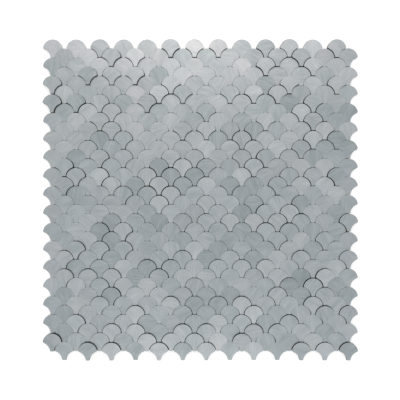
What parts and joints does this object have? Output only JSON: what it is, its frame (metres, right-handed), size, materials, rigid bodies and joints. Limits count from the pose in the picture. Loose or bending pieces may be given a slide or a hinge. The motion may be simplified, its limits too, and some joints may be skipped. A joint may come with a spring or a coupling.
{
  "type": "fish scale mosaic tile sheet",
  "caption": "Mosaic sheet of interlocking brushed metal fish scale tiles of uneven height on an adhesive film, with edges that nest into the next sheet.",
  "frame": {"origin": "middle of the underside of the backing film", "axes": "+Z out of the brushed face, +Y the way the round heads of the scales point"},
  "size_m": [0.2996, 0.3048, 0.0051],
  "materials": {
    "brushed_metal": "brushed, satin, in a different direction on each scale",
    "backing": "matt black self-adhesive film"
  },
  "bodies": {
    "root": {"scale_row_01": "brushed_metal", "scale_row_02": "brushed_metal", "scale_row_03": "brushed_metal", "scale_row_04": "brushed_metal", "scale_row_05": "brushed_metal", "scale_row_06": "brushed_metal", "scale_row_07": "brushed_metal", "scale_row_08": "brushed_metal", "scale_row_09": "brushed_metal", "scale_row_10": "brushed_metal", "scale_row_11": "brushed_metal", "scale_row_12": "brushed_metal", "scale_row_13": "brushed_metal", "scale_row_14": "brushed_metal", "scale_row_15": "brushed_metal", "scale_row_16": "brushed_metal", "scale_row_17": "brushed_metal", "scale_row_18": "brushed_metal", "scale_row_19": "brushed_metal", "scale_row_20": "brushed_metal", "scale_row_21": "brushed_metal", "scale_row_22": "brushed_metal", "scale_row_23": "brushed_metal", "scale_row_24": "brushed_metal", "scale_row_25": "brushed_metal", "scale_row_26": "brushed_metal", "scale_row_27": "brushed_metal", "scale_row_28": "brushed_metal", "scale_row_29": "brushed_metal", "scale_row_30": "brushed_metal", "scale_row_31": "brushed_metal", "scale_row_32": "brushed_metal", "scale_row_33": "brushed_metal", "scale_row_34": "brushed_metal", "backing_film": "backing"}
  },
  "joints": []
}
